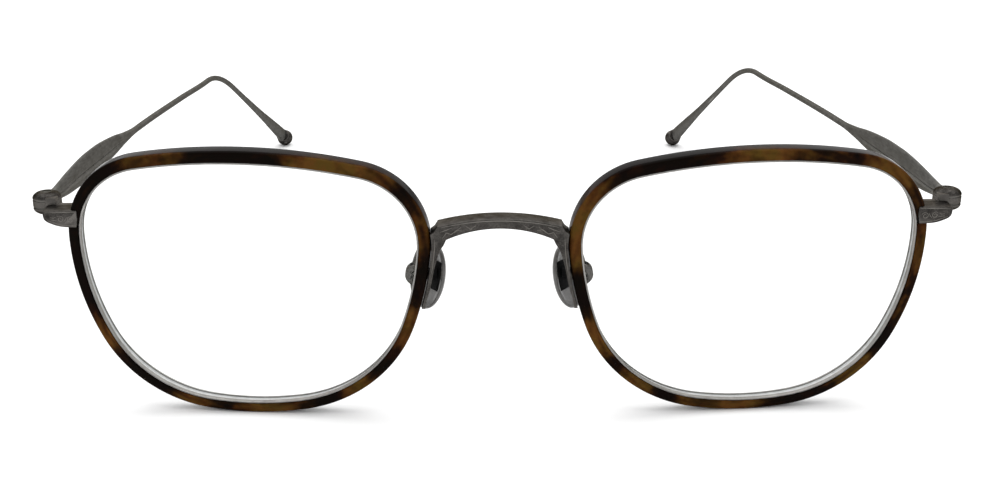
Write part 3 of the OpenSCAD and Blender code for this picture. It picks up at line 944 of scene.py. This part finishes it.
# Half height and half thickness at distances from the hinge
HALF_HEIGHT = (
    (2, 0.95), (5, 0.3 * BLADE_H), (8, 0.39 * BLADE_H), (12, 0.46 * BLADE_H), (16, 0.5 * BLADE_H),
    (20, 0.5 * BLADE_H), (25, 0.45 * BLADE_H), (30, 0.36 * BLADE_H), (35, 0.22 * BLADE_H), (41, WIRE_D / 2),
    (STRAIGHT + EAR_ARC, WIRE_D / 2), (PATH_L - 16, 0.85), (PATH_L - 8, 1.25), (PATH_L, 1.5),
)
HALF_THICK = (
    (2, 0.62), (16, 0.55), (40, WIRE_D / 2), (STRAIGHT + EAR_ARC, WIRE_D / 2),
    (PATH_L - 10, 0.6), (PATH_L, 0.9),
)
# How much of the blade's section is left, down to 0 for a round wire
FEATHER = ((2, 0.6), (5, 1), (26, 1), (40, 0))
# How far the temple bows upwards between the hinge and the ear
BOW = ((2, 0), (6, 0.12), (14, 0.5), (25, 0.72), (45, 0.8), (70, 0.45), (88, 0))
# Blade section down its outer face, then up the same inner face: two facets with a groove between
BLADE_FACE = (
    (0, 1), (0.3, 0.9), (0.72, 0.5), (1.0, -0.02), (0.62, -0.18), (1.0, -0.34), (0.8, -0.62),
    (0.3, -0.92), (0, -1),
)
BLADE = BLADE_FACE + tuple((-x, y) for x, y in BLADE_FACE[-2:0:-1])


def temple_section(blade):
    """Unit section, from the feather blade at 1 to a round wire at 0."""
    out = []
    n = len(BLADE)
    for k in range(n):
        for t in (0, 0.5):
            x0, y0 = BLADE[k]
            x1, y1 = BLADE[(k + 1) % n]
            flat = Vector((x0 + (x1 - x0) * t, y0 + (y1 - y0) * t))
            a = math.pi / 2 - 2 * math.pi * (k + t) / n
            out.append(Vector((math.cos(a), math.sin(a))).lerp(flat, blade))
    return out


def temple(side, name):
    """Feather blade with a grooved face, then a round wire and a flattened ear section."""
    rings = []
    for s, centre, across, up in temple_path(SHAPE[side]):
        centre = centre + smooth_lookup(s, BOW) * up
        unit = temple_section(smooth_lookup(s, FEATHER))
        h = smooth_lookup(s, HALF_HEIGHT)
        t = smooth_lookup(s, HALF_THICK)
        rings.append([HINGE_FRAME @ (centre + q.x * t * across + q.y * h * up) for q in unit])
    obj = loft("temple_blade_" + name, rings)
    finish_piece(obj, side, "temple_" + name, ["temple_" + name], TEMPLE, 28)


def tip_cap(side, name):
    """Ball tip with a collar and a groove round its neck."""
    s, end = temple_path(SHAPE[side])[-1][:2]
    inward, down = temple_angles(s, SHAPE[side])
    r = BALL_D / 2
    profile = [(0, 0), (1.42, 0), (1.5, 0.06), (1.5, 0.24), (1.42, 0.3), (1.12, 0.36), (1.08, 0.42)]
    for degrees in range(-50, 91, 5):
        a = math.radians(degrees)
        profile.append((r * math.cos(a), r + r * math.sin(a)))
    turn = (
        HINGE_FRAME
        @ Matrix.Translation(end)
        @ Matrix.Rotation(inward, 4, "Z")
        @ Matrix.Rotation(-math.pi / 2 - down, 4, "X")
        @ Matrix.Translation((0, 0, -CAP_SINK))
    )
    obj = lathe("ball_tip_" + name, profile, 48, matrix=turn)
    finish_piece(obj, side, "temple_" + name, ["tip_cap_" + name], PEWTER, 35)


# ---------------------------------------------------------------- nose pads

def pad_arm(side, name):
    """Wire from its solder foot on the rim, round a bend and down to the pad box."""
    bend, wire, foot_x = 2.4, 0.42, 10.8
    by = BOX[1] - bend
    bz = BOX[2] + BOX_R - 0.05
    # Depth and radius of the foot, where it swells and narrows to the wire
    foot = ((3.02, 0.54), (3.1, 0.6), (3.3, 0.55), (3.5, 0.44), (3.8, wire))
    path = [(foot_x, station[0], bz + bend) for station in foot]
    radii = [station[1] for station in foot]
    for a in range(0, 91, 6):
        t = math.radians(a)
        x = foot_x + (BOX[0] - foot_x) * a / 90
        path.append((x, by + bend * math.sin(t), bz + bend * math.cos(t)))
        radii.append(wire)
    obj = tube("pad_wire_" + name, path, radii)
    finish_piece(obj, side, "front", ["pad_arm_" + name], PEWTER, 50)


def pad_box(side, name):
    """Round box, slotted for the boss and bored for the screw."""
    box = along_y(BOX_R, -0.8, 0.8, BOX, "pad_box_round_" + name, 0.14)
    x, y, z = BOX
    combine(box, [
        block("slot", (x - 3, y - 0.45, z - 3), (x + 0.9, y + 0.45, z + 3)),
        along_y(0.48, -2, 2, BOX, "bore"),
    ])
    finish_piece(box, side, "front", ["pad_box_" + name], PEWTER, 35)


def pad_screw(side, name):
    """Slotted screw across the box, which the pad rocks on."""
    shank = along_y(0.45, -0.9, 0.9, BOX, "pad_screw_slotted_" + name, 0.06, 28)
    head = along_y(0.8, -1.1, -0.82, BOX, "head", 0.08, 32)
    combine(shank, [head], "UNION")
    x, y, z = BOX
    combine(shank, [block("slot", (x - 1, y - 1.3, z - 0.12), (x + 1, y - 0.96, z + 0.12))])
    finish_piece(shank, side, "front", ["pad_screw_" + name], SCREW, 35)


def pad_core(side, name):
    """Boss in the pad box and the plate that the pad is moulded round."""
    x, y, z = BOX
    boss = along_y(0.75, -0.35, 0.35, BOX, "pad_plate_" + name, 0.05)
    combine(boss, [block("arm", (x - 2.8, y - 0.34, z - 0.74), (x, y + 0.34, z + 0.74))], "UNION")
    plate = soften(block("plate", *PLATE, PAD_FRAME), 0.12, 3)
    combine(boss, [plate], "UNION")
    combine(boss, [along_y(0.48, -2, 2, BOX, "bore")])
    finish_piece(boss, side, "pad_" + name, ["pad_core_" + name], CORE, 35)


def nose_pad(side, name):
    """D-shaped pad: a beaded rim round a shallow mounting face, and a soft dome towards the nose."""
    # Share of the outline's size, and X in the pad's own frame
    profile = (
        (0.0, -0.14), (0.3, -0.14), (0.6, -0.13), (0.8, -0.12), (0.86, -0.07), (0.9, 0.0), (0.945, 0.0),
        (0.98, -0.08), (1.0, -0.25), (0.99, -0.45), (0.94, -0.75), (0.84, -1.08), (0.68, -1.38),
        (0.46, -1.59), (0.22, -1.68), (0.0, -1.7),
    )
    sides = 72
    layers = []
    for scale, x in profile:
        ring = []
        for k in range(sides):
            a = 2 * math.pi * k / sides
            c, s = math.cos(a), math.sin(a)
            y = PAD_W / 2 * math.copysign(abs(s) ** 0.94, s)
            z = PAD_H / 2 * math.copysign(abs(c) ** 0.97, c)
            ring.append(PAD_FRAME @ Vector((x, y * scale, z * scale)))
        layers.append(ring)
    pad = loft("nose_pad_gloss_" + name, layers)
    x, y, z = BOX
    low = [v - PLATE_GAP for v in PLATE[0]]
    high = [0.3] + [v + PLATE_GAP for v in PLATE[1][1:]]
    cuts = [
        soften(block("plate", low, high, PAD_FRAME), 0.1, 2),
        block("arm", (x - 2.88, y - 0.38, z - 0.78), (x, y + 0.38, z + 0.78)),
    ]
    combine(pad, cuts)
    finish_piece(pad, side, "pad_" + name, ["nose_pad_" + name], PAD, 40)


# ---------------------------------------------------------------- stage

def paint_cad(name, material):
    """Gives a CAD node that no piece replaces its material."""
    node = frame["nodes"][name]
    node.data.materials.clear()
    node.data.materials.append(material)


def floor():
    """A large pale floor."""
    half, rows = 4.0, 8
    marks = [half * (k / rows - 0.5) * 2 for k in range(rows + 1)]
    verts = [(x, y, 0) for y in marks for x in marks]
    mesh = bpy.data.meshes.new("floor")
    mesh.from_pydata(verts, [], quads(rows + 1, rows + 1, False, False))
    obj = bpy.data.objects.new("floor", mesh)
    bpy.context.scene.collection.objects.link(obj)
    material, nodes, links, shader = new_material("pale_floor")
    cloud = texture(nodes, links, 0.004, 2.0)
    colour = ramp(nodes, links, cloud, ((0.3, (0.9, 0.9, 0.9)), (0.7, (0.92, 0.92, 0.92))))
    links.new(colour, shader.inputs["Base Color"])
    shader.inputs["Roughness"].default_value = 0.9
    shader.inputs["Specular IOR Level"].default_value = 0.1
    mesh.materials.append(material)


def area_light(name, place, target, size, power):
    """A rectangular light that faces its target."""
    light = bpy.data.lights.new(name, "AREA")
    light.shape = "RECTANGLE"
    light.size, light.size_y = size
    light.energy = power
    obj = bpy.data.objects.new(name, light)
    obj.location = place
    obj.rotation_euler = (Vector(target) - Vector(place)).to_track_quat("-Z", "Y").to_euler()
    bpy.context.scene.collection.objects.link(obj)


def lights():
    """A softbox above, a wide one behind, and an even white world."""
    area_light("top_softbox", (0, 0.1, 0.9), (0, 0, 0), (1.2, 1.0), 7.0)
    area_light("back_softbox", (0, 1.1, 0.5), (0, 0, 0.02), (2.2, 0.6), 6.0)
    world = bpy.data.worlds.new("studio")
    world.use_nodes = True
    background = world.node_tree.nodes["Background"]
    background.inputs["Color"].default_value = (1, 1, 1, 1)
    background.inputs["Strength"].default_value = 0.8
    bpy.context.scene.world = world


def camera():
    """Slightly left of the middle, in front and above, looking down on the rims."""
    place, focal_length = (-2.41, -163.88, 82.77), 48.55
    yaw, pitch = math.radians(0.844), math.radians(25.0)
    ahead = Vector((math.sin(yaw) * math.cos(pitch), math.cos(yaw) * math.cos(pitch), -math.sin(pitch)))
    data = bpy.data.cameras.new("camera")
    data.sensor_width = 36
    data.lens = focal_length
    data.clip_start = 0.01
    obj = bpy.data.objects.new("camera", data)
    turn = STANDING.to_3x3().normalized()
    obj.location = STANDING @ Vector(place)
    obj.rotation_euler = (turn @ ahead).to_track_quat("-Z", "Y").to_euler()
    bpy.context.scene.collection.objects.link(obj)
    bpy.context.scene.camera = obj


camera()
lights()
floor()
bpy.context.scene.view_settings.view_transform = "Standard"

bridge()
for side, name in SIDES:
    eyewire(side, name)
    acetate(side, name)
    lens(side, name)
    endpiece(side, name)
    hinge_front(side, name)
    hinge_screw(side, name)
    hinge_leaf(side, name)
    temple(side, name)
    tip_cap(side, name)
    pad_arm(side, name)
    pad_box(side, name)
    pad_screw(side, name)
    pad_core(side, name)
    nose_pad(side, name)
    paint_cad("hinge_washers_" + name, SCREW)
